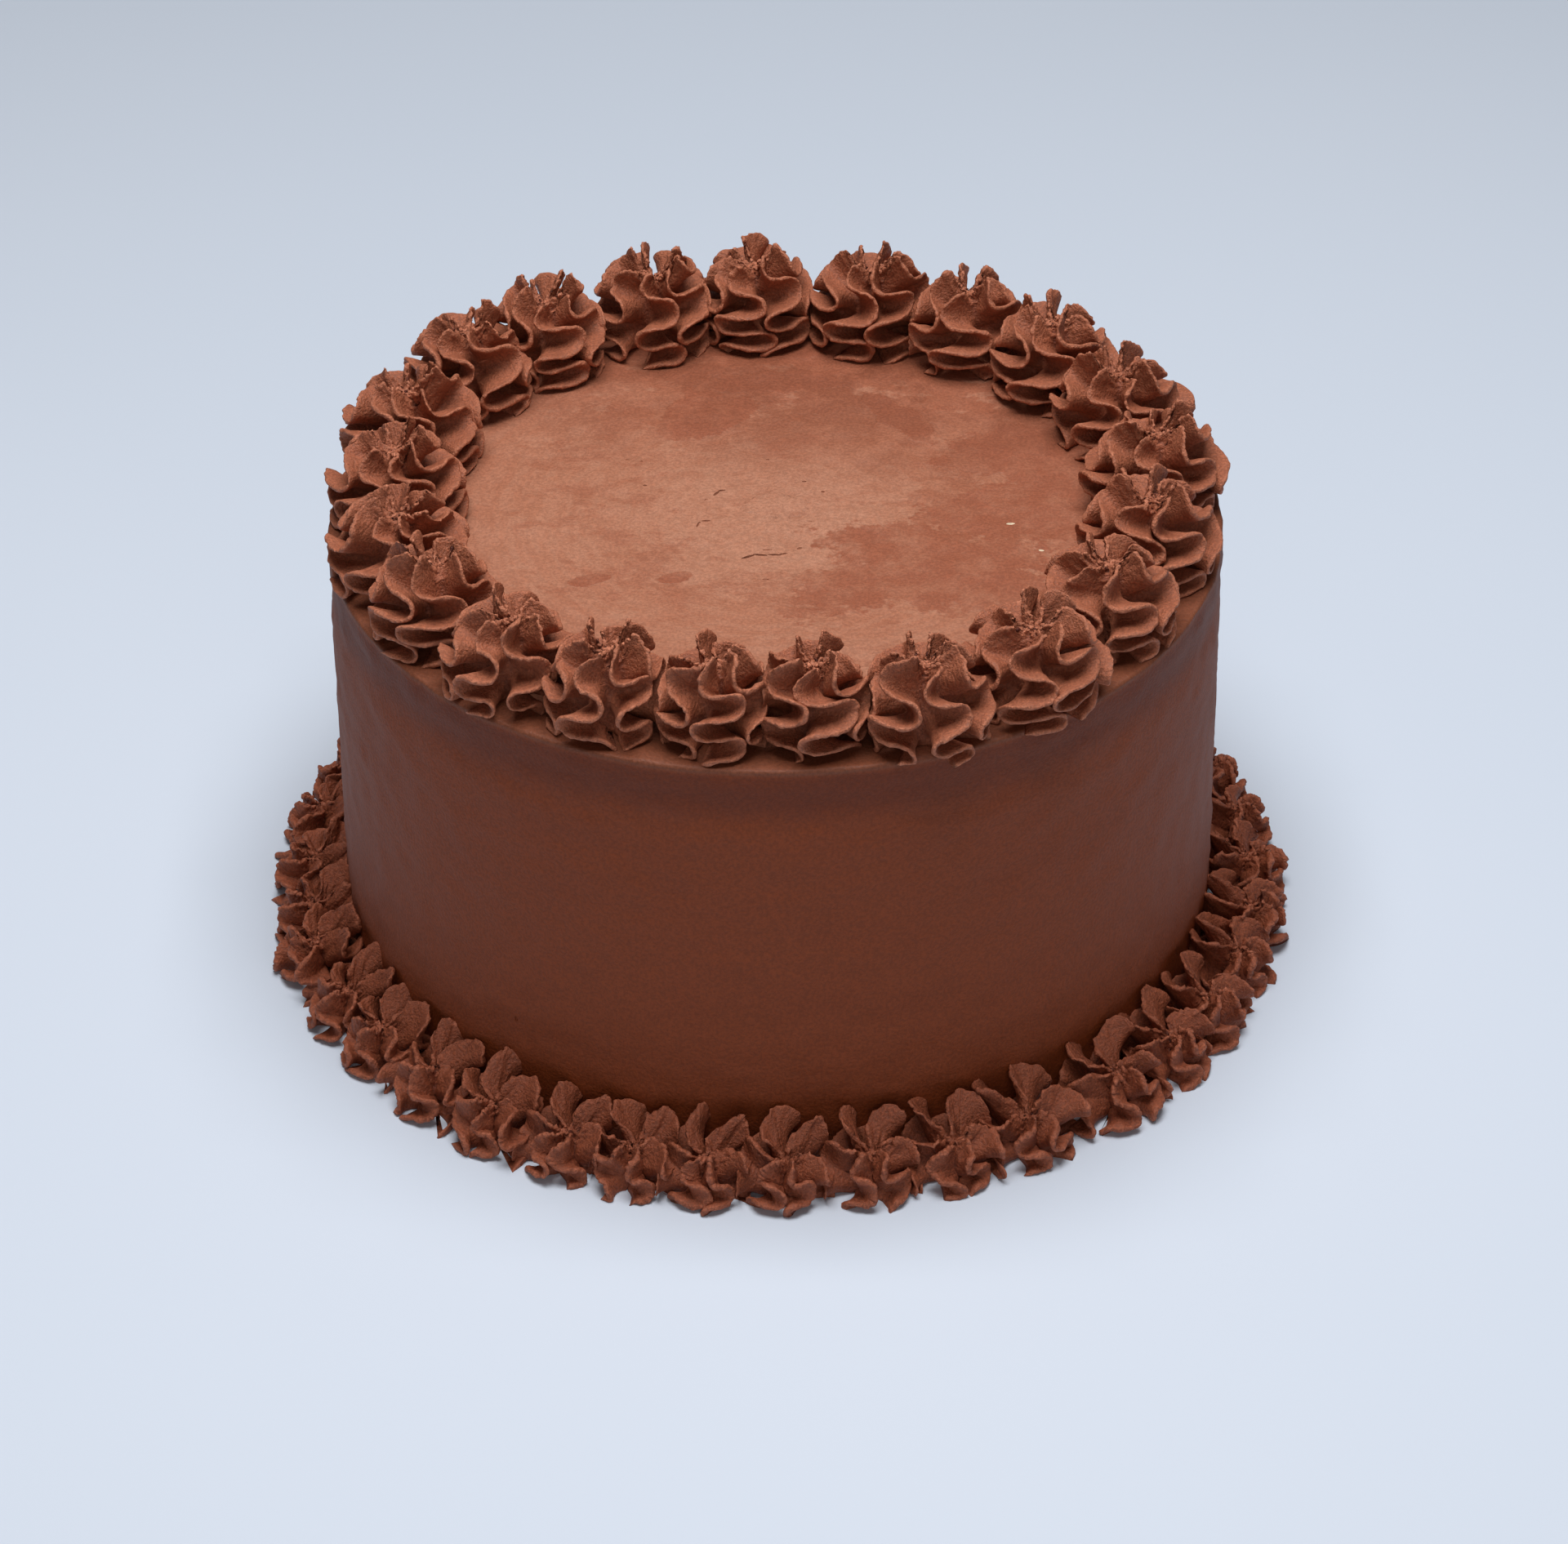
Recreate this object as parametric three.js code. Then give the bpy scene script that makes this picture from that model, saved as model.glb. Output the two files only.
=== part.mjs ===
// Chocolate layer cake with piped borders, in millimetres, +Z up.
// The origin is the middle of the flat underside. The seen front is towards -Y, and an azimuth is
// counted from there through +X, so 90 degrees is the cake's right and 180 its back.
import * as THREE from 'three';
import { mergeVertices } from 'three/addons/utils/BufferGeometryUtils.js';

// The iced cake: a cylinder that narrows a little towards a crisp, slightly rounded rim
const bodyHeight = 115.6;
const bodyBottomRadius = 113.1;
const bodyTopRadius = 112;
const footChamfer = 1.2;
const rimRadius = 1.2;
const rimSteps = 3;
const bodySides = 96;
// A shallow band that the icing scraper left round the wall, below the rim
const bandTop = 8;
const bandBottom = 18;
const bandDepth = 0.5;
// The top is scraped almost flat: it sinks a little towards the middle
const topDishDepth = 0.6;
const topDishRadius = 70;

// Gap between pieces that touch
const gap = 0.3;

// The rosettes round the top edge: azimuth and distance from the axis of each, as piped by hand
const rosetteAzimuths = [
  -8.5, 5, 19.5, 36.5, 56.5, 75.5, 94.5, 113, 131, 147.5, 164.5,
  183, 199.5, 218.5, 232.5, 252, 269, 287, 303, 320.5, 336,
];
const rosetteDistances = [
  96.5, 95.5, 102, 100.5, 96, 94.5, 95, 96, 96, 95, 95,
  95.5, 95.5, 97.5, 99.5, 97.5, 95, 96.5, 97.5, 98.5, 98,
];
// Sizes of a piped piece: its foot, tip and core are shares of its radius, swing is how far a ridge
// sways in degrees, waves how often it does so from foot to tip, turn where in a wave it ends, and
// calm the share of the height above which the swaying dies down by the share of calming. The first
// petal points away from the cake's axis but for the angle of first. Petals beside the next piece
// are longer by the share of broad and those that point outward shorter by the share of short.
// Each piece is as wide as its share fill of the room to its neighbours, between narrow and wide.
const rosette = {
  petals: 7,
  height: 23.2,
  radius: 15.6,
  foot: 0.88,
  tip: 0.36,
  taper: 3.2,
  crater: 18.5,
  core: 0.4,
  swing: 27,
  waves: 2,
  calm: 0.62,
  calming: 0.35,
  first: 8,
  firstSpread: 8,
  turn: -0.4,
  turnSpread: 0.8,
  petalTurn: 0.45,
  lean: 1.2,
  rise: 0,
  broad: 0,
  short: 0,
  fill: 0.59,
  narrow: 15.2,
  wide: 17.8,
  bands: 9,
  seedStep: 17,
};

// The smaller stars round the foot: azimuth and distance of those seen from the front as piped, the
// others evenly between. Their petals at the wall stand higher by rise.
const starAzimuthsSeen = [
  -44, -34.5, -24.5, -16.5, -8.5, 0.5, 10, 19.5, 29, 42, 51.5, 60, 70, 79, 89.5,
];
const starDistancesSeen = [
  124, 125, 125, 124.7, 125, 125.3, 125, 125.3, 124.8, 124.2, 125, 125.1, 124.5, 124.5, 123.5,
];
const starCount = 38;
const starDistance = 123.8;
const starDistanceSpread = 1.2;
const starAzimuthSpread = 0.9;
const star = {
  petals: 6,
  height: 13.5,
  radius: 12.3,
  foot: 0.95,
  tip: 0.42,
  taper: 2.6,
  crater: 9.5,
  core: 0.4,
  swing: 29,
  waves: 1.2,
  calm: 0.5,
  calming: 0.45,
  first: 30,
  firstSpread: 8,
  turn: 0.6,
  turnSpread: 0.9,
  petalTurn: 0.6,
  lean: 0.6,
  rise: 5.5,
  broad: 0.3,
  short: 0.3,
  fill: 0.57,
  narrow: 11.9,
  wide: 13.6,
  bands: 5,
  seedStep: 29,
};

// How far one petal's sizes differ from the next, as shares of the size or in degrees
const heightSpread = 0.1;
const radiusSpread = 0.06;
const swingLow = 0.7;
const swingHigh = 1.2;
const waveSpread = 0.1;
const petalAngleSpread = 5;
// Two ridges that sway towards each other keep this many degrees between them
const leastBetween = 12;
const spreadPasses = 4;
// Share of the height over which the petals belly out, how much closer the waves lie at the foot,
// the tip share of the petals that lean on the wall and by how much more they swing, and how fast
// that and the greater length of the petals beside the next piece fall off with the direction
const bellyShare = 0.35;
const footCrowding = 0.3;
const wallTip = 0.9;
const wallSwing = 0.25;
const wallFalloff = 0.7;
const broadFalloff = 1.5;
// The valleys between petals: share of the core's radius, how far they draw in towards the top, and
// how far they lie under the middle
const valleyShare = 0.9;
const valleyTaper = 0.4;
const valleyDepth = 1.5;

const icing = { color: 0x99573a, roughness: 0.6 };
const topPiping = { color: 0xa66143, roughness: 0.62 };
const footPiping = { color: 0x995133, roughness: 0.62 };

// Points nearer than this are one point, in millimetres
const weldReach = 1e-3;
// A direction whose share towards a plane is under this never meets it
const alongPlane = 1e-6;

// The random draws are a plain chain of products, and each piece starts it at its own seed
const seedFactor = 7919;
const seedOffset = 12345;
const firstDrawsLeftOut = 4;
const drawFactor = 16807;
const drawModulus = 2147483647;

// Repeatable random draws
class Draw {
  constructor(seed) {
    this.state = seed * seedFactor + seedOffset;
    for (let count = 0; count < firstDrawsLeftOut; count += 1) {
      this.between(0, 1);
    }
  }

  between(low, high) {
    this.state = (this.state * drawFactor) % drawModulus;
    return low + ((high - low) * this.state) / drawModulus;
  }
}

function radians(degrees) {
  return (degrees * Math.PI) / 180;
}

function smoothstep(low, high, value) {
  const share = Math.min(Math.max((value - low) / (high - low), 0), 1);
  return share * share * (3 - 2 * share);
}

function material(look) {
  return new THREE.MeshStandardMaterial({ ...look, metalness: 0 });
}

// A closed body has its seam and its poles welded
function weld(geometry) {
  geometry.deleteAttribute('normal');
  geometry.deleteAttribute('uv');
  const welded = mergeVertices(geometry, weldReach);
  welded.computeVertexNormals();
  return welded;
}

// Profile from the axis underneath, out and up the wall, over the rim and back to the axis
function bodyProfile() {
  const wallRadius = (z) => {
    return bodyBottomRadius + ((bodyTopRadius - bodyBottomRadius) * z) / bodyHeight;
  };
  const bandMiddle = bodyHeight - (bandTop + bandBottom) / 2;
  const points = [
    [0, 0],
    [bodyBottomRadius - footChamfer, 0],
    [bodyBottomRadius, footChamfer],
    [wallRadius(bodyHeight - bandBottom), bodyHeight - bandBottom],
    [wallRadius(bandMiddle) - bandDepth, bandMiddle],
    [wallRadius(bodyHeight - bandTop), bodyHeight - bandTop],
  ];
  for (let step = 0; step <= rimSteps; step += 1) {
    const angle = (step / rimSteps) * (Math.PI / 2);
    points.push([
      bodyTopRadius - rimRadius * (1 - Math.cos(angle)),
      bodyHeight - rimRadius * (1 - Math.sin(angle)),
    ]);
  }
  points.push([topDishRadius, bodyHeight]);
  points.push([0, bodyHeight - topDishDepth]);
  return points.map(([r, z]) => new THREE.Vector2(r, z));
}

function makeBody() {
  const geometry = new THREE.LatheGeometry(bodyProfile(), bodySides);
  geometry.rotateX(Math.PI / 2);
  return weld(geometry);
}

// How much wider than usual a piece is where its neighbours leave it more room, or less
function sizeBySpacing(form, spots, index) {
  const before = spots[(index + spots.length - 1) % spots.length];
  const after = spots[(index + 1) % spots.length];
  const spacing = (spots[index].distanceTo(before) + spots[index].distanceTo(after)) / 2;
  return Math.min(Math.max(form.fill * spacing, form.narrow), form.wide) / form.radius;
}

// The petals of one piped piece, each with its own direction, size and sway
function drawPetals(form, draw, outward, size) {
  const spin = outward + radians(form.first + draw.between(-form.firstSpread, form.firstSpread));
  const phase = form.turn + draw.between(-form.turnSpread, form.turnSpread);
  const lean = [draw.between(-form.lean, form.lean), draw.between(-form.lean, form.lean)];
  const petals = [];
  for (let index = 0; index < form.petals; index += 1) {
    const offset = radians(draw.between(-petalAngleSpread, petalAngleSpread));
    const angle = spin + (2 * Math.PI * index) / form.petals + offset;
    const facing = form.rise > 0 ? Math.max(-Math.cos(angle - outward), 0) ** wallFalloff : 0;
    const beside = form.broad * Math.abs(Math.sin(angle - outward)) ** broadFalloff;
    const ahead = form.short * Math.max(Math.cos(angle - outward), 0);
    const share = size * (1 + beside - ahead);
    petals.push({
      angle,
      height: form.height * draw.between(1 - heightSpread, 1 + heightSpread) + form.rise * facing,
      radius: form.radius * share * draw.between(1 - radiusSpread, 1 + radiusSpread),
      tip: form.tip + (wallTip - form.tip) * facing,
      swing: radians(form.swing) * (1 + wallSwing * facing) * draw.between(swingLow, swingHigh),
      turn: phase + draw.between(-form.petalTurn, form.petalTurn),
      waves: form.waves * draw.between(1 - waveSpread, 1 + waveSpread),
    });
  }
  return { petals, lean };
}

// How far a petal's ridge has swayed at a share of the climb from foot to tip
function swayAt(form, petal, climb) {
  const left = 1 - climb;
  const crowded = (left * (1 + footCrowding * left)) / (1 + footCrowding);
  const calm = 1 - form.calming * smoothstep(form.calm, 1, climb);
  return petal.swing * calm * Math.sin(petal.turn - 2 * Math.PI * petal.waves * crowded);
}

// The directions of all ridges at a share of the climb, none swayed across the next
function ridgeAngles(form, petals, climb) {
  const angles = petals.map((petal) => petal.angle + swayAt(form, petal, climb));
  for (let pass = 0; pass < spreadPasses; pass += 1) {
    for (let index = 0; index < angles.length; index += 1) {
      const next = (index + 1) % angles.length;
      const turned = next === 0 ? 2 * Math.PI : 0;
      const lacking = radians(leastBetween) - (angles[next] + turned - angles[index]);
      if (lacking > 0) {
        angles[index] -= lacking / 2;
        angles[next] += lacking / 2;
      }
    }
  }
  return angles;
}

// How far out a petal's ridge is at a share of the climb: a belly over the foot, then in to the tip
function ridgeRadius(form, petal, climb) {
  const out = Math.sin((Math.PI / 2) * Math.min(climb / bellyShare, 1));
  const belly = form.foot + (1 - form.foot) * out;
  return petal.radius * belly * (1 - (1 - petal.tip) * climb ** form.taper);
}

// One piped piece: a lathe form of plain bands whose sides become ridges and valleys in turn. Each
// ridge sways from side to side as it climbs and ends in a point round the lower broken middle.
// room(angle) is the distance that is free in that direction.
function makePiped(form, draw, outward, size, room) {
  const sides = form.petals * 2;
  const profile = [new THREE.Vector2(0, 0)];
  for (let band = 0; band <= form.bands; band += 1) {
    profile.push(new THREE.Vector2(form.radius, (form.height * band) / form.bands));
  }
  profile.push(new THREE.Vector2(0, form.crater));

  const { petals, lean } = drawPetals(form, draw, outward, size);
  const ridge = (index, angles, climb) => {
    return [angles[index], ridgeRadius(form, petals[index], climb), petals[index].height * climb];
  };
  const valley = (index, angles, climb) => {
    const next = (index + 1) % form.petals;
    const turned = next === 0 ? 2 * Math.PI : 0;
    const radius = form.core * form.radius * (1 - valleyTaper * climb ** 2) * valleyShare;
    return [(angles[index] + angles[next] + turned) / 2, radius, (form.crater - valleyDepth) * climb];
  };
  const place = (angle, radius, z) => {
    const push = (z / form.height) ** 2;
    const x = radius * Math.cos(angle) + lean[0] * push;
    const y = radius * Math.sin(angle) + lean[1] * push;
    const direction = Math.atan2(y, x);
    const kept = Math.min(Math.hypot(x, y), room(direction));
    return [kept * Math.cos(direction), kept * Math.sin(direction), z];
  };

  const geometry = new THREE.LatheGeometry(profile, sides);
  const position = geometry.getAttribute('position');
  const rows = profile.length;
  for (let index = 0; index < position.count; index += 1) {
    const side = Math.floor(index / rows) % sides;
    const row = index % rows;
    if (row === 0) {
      position.setXYZ(index, 0, 0, 0);
    } else if (row === rows - 1) {
      position.setXYZ(index, lean[0] / 2, lean[1] / 2, form.crater);
    } else {
      const climb = (row - 1) / form.bands;
      const angles = ridgeAngles(form, petals, climb);
      const line = side % 2 === 0 ? ridge : valley;
      position.setXYZ(index, ...place(...line(Math.floor(side / 2), angles, climb)));
    }
  }
  return weld(geometry);
}

// Room towards a plane at a distance, whose direction is an angle from the piece's middle
function roomTo(distance, direction) {
  return (angle) => {
    const facing = Math.cos(angle - direction);
    return facing > alongPlane ? distance / facing : Infinity;
  };
}

// The planes halfway to both neighbours on the ring, seen from the piece
function neighbourRooms(spots, index) {
  const own = spots[index];
  return [-1, 1].map((step) => {
    const other = spots[(index + step + spots.length) % spots.length];
    const across = new THREE.Vector2().subVectors(other, own);
    return roomTo(across.length() / 2 - gap / 2, across.angle());
  });
}

function onCake(azimuth, distance) {
  const angle = radians(azimuth);
  return new THREE.Vector2(distance * Math.sin(angle), -distance * Math.cos(angle));
}

function name(stem, index) {
  return `${stem}_${String(index + 1).padStart(2, '0')}`;
}

function addRosettes(cake) {
  const spots = rosetteAzimuths.map((azimuth, index) => onCake(azimuth, rosetteDistances[index]));
  spots.forEach((spot, index) => {
    const rooms = neighbourRooms(spots, index);
    const room = (angle) => Math.min(...rooms.map((side) => side(angle)));
    const draw = new Draw((index + 1) * rosette.seedStep);
    const size = sizeBySpacing(rosette, spots, index);
    const mesh = new THREE.Mesh(makePiped(rosette, draw, spot.angle(), size, room), material(topPiping));
    mesh.name = name('top_rosette', index);
    mesh.position.set(spot.x, spot.y, bodyHeight + gap);
    cake.add(mesh);
  });
}

function starAzimuths() {
  const azimuths = [...starAzimuthsSeen];
  const last = azimuths[azimuths.length - 1];
  const free = starCount - azimuths.length;
  const step = (360 + azimuths[0] - last) / (free + 1);
  const draw = new Draw(star.seedStep);
  for (let index = 1; index <= free; index += 1) {
    azimuths.push(last + step * index + draw.between(-starAzimuthSpread, starAzimuthSpread));
  }
  return azimuths;
}

function addStars(cake) {
  const placing = new Draw(star.seedStep + 1);
  const spots = starAzimuths().map((azimuth, index) => {
    if (index < starDistancesSeen.length) {
      return onCake(azimuth, starDistancesSeen[index]);
    }
    return onCake(azimuth, starDistance + placing.between(-starDistanceSpread, starDistanceSpread));
  });
  spots.forEach((spot, index) => {
    const wall = roomTo(spot.length() - bodyBottomRadius - gap, spot.angle() + Math.PI);
    const rooms = [...neighbourRooms(spots, index), wall];
    const room = (angle) => Math.min(...rooms.map((side) => side(angle)));
    const draw = new Draw((index + 1) * star.seedStep);
    const size = sizeBySpacing(star, spots, index);
    const mesh = new THREE.Mesh(makePiped(star, draw, spot.angle(), size, room), material(footPiping));
    mesh.name = name('base_star', index);
    mesh.position.set(spot.x, spot.y, 0);
    cake.add(mesh);
  });
}

const cake = new THREE.Group();
const body = new THREE.Mesh(makeBody(), material(icing));
body.name = 'cake_body';
cake.add(body);
addRosettes(cake);
addStars(cake);

export default cake;
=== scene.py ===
"""Chocolate layer cake with ruffled piped borders: looks, light and camera."""
import math

import bpy
import numpy as np
from mathutils import Matrix, Vector


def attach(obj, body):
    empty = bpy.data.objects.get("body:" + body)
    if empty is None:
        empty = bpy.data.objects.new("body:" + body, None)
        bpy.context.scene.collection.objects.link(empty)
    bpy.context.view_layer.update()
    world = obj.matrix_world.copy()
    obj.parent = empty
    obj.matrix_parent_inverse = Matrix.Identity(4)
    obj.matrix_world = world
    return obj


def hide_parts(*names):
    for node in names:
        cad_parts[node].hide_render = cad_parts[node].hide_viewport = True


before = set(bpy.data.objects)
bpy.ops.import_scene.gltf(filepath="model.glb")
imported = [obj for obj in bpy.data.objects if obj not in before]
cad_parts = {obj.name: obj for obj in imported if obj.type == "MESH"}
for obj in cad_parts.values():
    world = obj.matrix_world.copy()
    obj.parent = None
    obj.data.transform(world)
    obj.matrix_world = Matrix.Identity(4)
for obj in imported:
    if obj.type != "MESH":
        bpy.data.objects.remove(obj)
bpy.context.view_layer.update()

MM = 0.001

# Cake, in millimetres, as in the solids: origin under the middle, front towards -Y, azimuth from
# the front through +X
BODY_HEIGHT = 115.6
BODY_BOTTOM_RADIUS = 113.1
BODY_TOP_RADIUS = 112.0

ROSETTE_AZIMUTHS = [
    -8.5, 5, 19.5, 36.5, 56.5, 75.5, 94.5, 113, 131, 147.5, 164.5,
    183, 199.5, 218.5, 232.5, 252, 269, 287, 303, 320.5, 336,
]
ROSETTE_DISTANCES = [
    96.5, 95.5, 102, 100.5, 96, 94.5, 95, 96, 96, 95, 95,
    95.5, 95.5, 97.5, 99.5, 97.5, 95, 96.5, 97.5, 98.5, 98,
]
STAR_AZIMUTHS_SEEN = [
    -44, -34.5, -24.5, -16.5, -8.5, 0.5, 10, 19.5,
    29, 42, 51.5, 60, 70, 79, 89.5,
]
STAR_DISTANCES_SEEN = [
    124, 125, 125, 124.7, 125, 125.3, 125, 125.3,
    124.8, 124.2, 125, 125.1, 124.5, 124.5, 123.5,
]
STAR_COUNT = 38
STAR_DISTANCE = 123.8
STAR_DISTANCE_SPREAD = 1.2
STAR_AZIMUTH_SPREAD = 0.9

# What the values of a kind of piping mean. Lengths are in millimetres.
# petals: how many there are, one for each tooth of the nozzle
# height, radius: up to the petals' points and out to their edges
# foot, tip: share of the radius that the edge has at the foot and at the point
# taper: how late the edge draws in on its way up
# crater: height of the hollow in the middle
# core, inner: share of the radius for the roots of the petals and for their inner sides
# edge, root, swell: thickness at the edge and the root, and how late it grows between them
# swing, waves: degrees that a petal sways to each side, and how many times it does
# meander: how far the edge drops and rises with each sway
# calm, calming: share of the climb from which the sway fades, and by what share
# curl: how late the sway grows from root to edge
# twist: how much more the narrow levels sway than the wide
# arch: how much further the sway goes on past the point
# lean, torn: how far all points lean to one side, and how unevenly the edge is torn
# rise: how much taller the petals are that face the cake
# broad, short: share by which petals at the sides are longer, and those that face away shorter
# first, first_spread: degrees from straight outwards to the first petal
# turn, turn_spread, petal_turn: phase of the sway in radians, its spread by piece and by petal
# fill, narrow, wide: radius as a share of the room between neighbours, and its two limits
# overlap: how far a piece reaches past the middle between neighbours
# levels, across: steps along a petal and across one of its faces
# round_off: points over which the corners of the edge are rounded
# crumbly: share of the crumb grain along the edges
# seed_step: distance between the seeds of two neighbours
ROSETTE = dict(
    petals=7, height=23.2, radius=15.6, foot=0.88, tip=0.36, taper=3.2, crater=18.5,
    core=0.40, inner=0.17, edge=1.05, root=3.0, swell=2.0,
    swing=27.0, waves=2.0, meander=1.15, calm=0.62, calming=0.35, curl=0.85, twist=0.45, arch=0.0,
    lean=1.2, torn=0.5, rise=0.0, broad=0.0, short=0.0,
    first=8, first_spread=8, turn=-0.4, turn_spread=0.8, petal_turn=0.45,
    fill=0.59, narrow=15.2, wide=17.8, overlap=1.2,
    levels=120, across=7, round_off=3, crumbly=0.3, seed_step=17,
)
STAR = dict(
    petals=6, height=13.5, radius=12.3, foot=0.95, tip=0.42, taper=2.6, crater=9.5,
    core=0.40, inner=0.12, edge=1.4, root=4.0, swell=1.4,
    swing=29.0, waves=1.2, meander=0.9, calm=0.5, calming=0.45, curl=1.8, twist=0.0, arch=2.2,
    lean=0.6, torn=0.6, rise=5.5, broad=0.3, short=0.3,
    first=30, first_spread=8, turn=0.6, turn_spread=0.9, petal_turn=0.6,
    fill=0.57, narrow=11.9, wide=13.6, overlap=1.8,
    levels=72, across=8, round_off=9, crumbly=0.6, seed_step=29,
)

# Random draws, the same as in the solids
SEED_FACTOR = 7919
SEED_SHIFT = 12345
DRAW_FACTOR = 16807
DRAW_MODULUS = 2147483647
WARM_UP_DRAWS = 4


class Draw:
    """Repeatable random draws."""

    def __init__(self, seed):
        self.state = seed * SEED_FACTOR + SEED_SHIFT
        for _ in range(WARM_UP_DRAWS):
            self.between(0, 1)

    def between(self, low, high):
        self.state = self.state * DRAW_FACTOR % DRAW_MODULUS
        return low + (high - low) * self.state / DRAW_MODULUS

    def spread(self, size):
        """A draw up to size below or above 0."""
        return self.between(-size, size)


def smoothstep(low, high, value):
    """0 below low, 1 above high and smooth between them."""
    share = np.clip((value - low) / (high - low), 0, 1)
    return share * share * (3 - 2 * share)


def on_cake(azimuth, distance):
    """The x and y of a spot on the cake."""
    angle = math.radians(azimuth)
    return np.array([distance * math.sin(angle), -distance * math.cos(angle)])


def neighbour_planes(spots, index, overlap):
    """Distance and direction of the planes that keep a piece off its two neighbours."""
    own = spots[index]
    planes = []
    for step in (-1, 1):
        across = spots[(index + step) % len(spots)] - own
        planes.append((np.linalg.norm(across) / 2 + overlap, math.atan2(across[1], across[0])))
    return planes


def uneven(share, draw, size, knots):
    """A wandering line along share: random heights at a few knots, joined smoothly."""
    heights = np.array([draw.spread(size) for _ in range(knots)])
    at = np.clip(share, 0, 1) * (knots - 1)
    low = np.minimum(at.astype(int), knots - 2)
    between = at - low
    between = between * between * (3 - 2 * between)
    return heights[low] * (1 - between) + heights[low + 1] * between


def round_off(line, reach):
    """A line with its corners rounded over some points to either side."""
    kernel = np.hanning(2 * reach + 1 + 2)[1:-1]
    kernel /= kernel.sum()
    padded = np.pad(line.ravel(), reach, mode="edge")
    return np.convolve(padded, kernel, mode="valid").reshape(line.shape)


# A petal climbs to its point, slants back down inside and sinks into the middle
RETURN_SHARE = 0.22
SLANT_SHARE = 0.6

# Lowest and highest factor of the sizes of single petals, and their spread in degrees
HEIGHT_FACTORS = (0.9, 1.1)
RADIUS_FACTORS = (0.94, 1.06)
SWING_FACTORS = (0.7, 1.2)
WAVE_FACTORS = (0.9, 1.1)
AZIMUTH_SPREAD = 5

# Petals of a star that face the cake or stand at its sides
FACING_POWER = 0.7
FACING_TIP = 0.9
FACING_SWING = 0.25
SIDES_POWER = 1.5

# Sway of a petal: size and number of knots where it is uneven
SWAY_UNEVEN = (0.3, 7)
PHASE_UNEVEN = (0.5, 6)
WAVES_CROWD_BELOW = 0.3
ARCH_SWING = 0.4
LEAST_EDGE_SHARE = 0.25
DROP_LEVELS = (0, 0.1)
ROOT_SWAY = 0.3
REACH_SWAY = 0.05
REACH_PHASE = 0.7

# Line of a petal's edge and root, in millimetres and shares
SHOULDER_SHARES = (0.05, 0.35)
BELLY_SHARE = 0.35
SLANT_IN_POWER = 1.2
SLANT_DOWN_POWER = 0.85
EDGE_END_RADIUS = 0.5
ROOT_BELOW_CRATER = 1.5
ROOT_CLIMB_POWER = 0.95
ROOT_NARROWING = 0.4
ROOT_END_RADIUS = 0.4
ROOT_END_RISE = 1.3
FLOOR_SOFTNESS = 0.4
FLOOR_FADE = 0.03

# Torn and frayed edges: where on the climb they are, and how many knots they have
TORN_LEVELS = (0.9, 1.0)
TORN_KNOTS = 47
FRAYED_LEVELS = (0.5, 0.95)
FRAYED_KNOTS = 37
FRAYED_SHARE = 0.7
FINE_FRAY_LEVELS = (0.02, 0.2)
FINE_FRAY = (0.22, 83)
FRAY_POWER = 3

# Thickness of a petal
THIN_LEVELS = (0.75, 1.0)
THIN_AT_POINT = 0.3
THIN_INSIDE = 0.15
END_THICKENING = 0.5
BROAD_LUMPS = (0.2, 15)
FINE_LUMPS = (0.16, 71)
LUMP_POWER = 2
DIAGONAL = 0.71
VALLEY_SHARE = 0.9
TINY = 1e-9

# A piece is pushed back where it would cross a plane, from a share of the plane's distance on
PUSH_SOFTNESS = 1.4
PUSH_SHARES = (0.3, 0.7)
LEAST_FACING = 1e-6


class Course:
    """Shares of the way along a petal, level by level, and across it from root to edge."""

    def __init__(self, form):
        self.along = np.linspace(0, 1, form["levels"] + 1)[None, :]
        self.across = np.linspace(0, 1, form["across"] + 1)[:, None]
        self.climb = np.clip(self.along / (1 - RETURN_SHARE), 0, 1)
        self.back = np.clip((self.along - 1 + RETURN_SHARE) / RETURN_SHARE, 0, 1)
        self.slant = np.clip(self.back / SLANT_SHARE, 0, 1)
        self.sink = np.clip((self.back - SLANT_SHARE) / (1 - SLANT_SHARE), 0, 1)


def petal_facts(form, draw, start, phase, outward, size):
    """The sizes of one petal, by its place about the piece."""
    angle = start + math.radians(draw.spread(AZIMUTH_SPREAD))
    facing = max(-math.cos(angle - outward), 0) ** FACING_POWER if form["rise"] else 0
    beside = form["broad"] * abs(math.sin(angle - outward)) ** SIDES_POWER
    ahead = form["short"] * max(math.cos(angle - outward), 0)
    share = size * (1 + beside - ahead)
    return dict(
        angle=angle,
        height=form["height"] * draw.between(*HEIGHT_FACTORS) + form["rise"] * facing,
        radius=form["radius"] * share * draw.between(*RADIUS_FACTORS),
        tip=form["tip"] + (FACING_TIP - form["tip"]) * facing,
        swing=math.radians(form["swing"]) * (1 + FACING_SWING * facing) * draw.between(*SWING_FACTORS),
        turn=phase + draw.spread(form["petal_turn"]),
        waves=form["waves"] * draw.between(*WAVE_FACTORS),
    )


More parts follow.
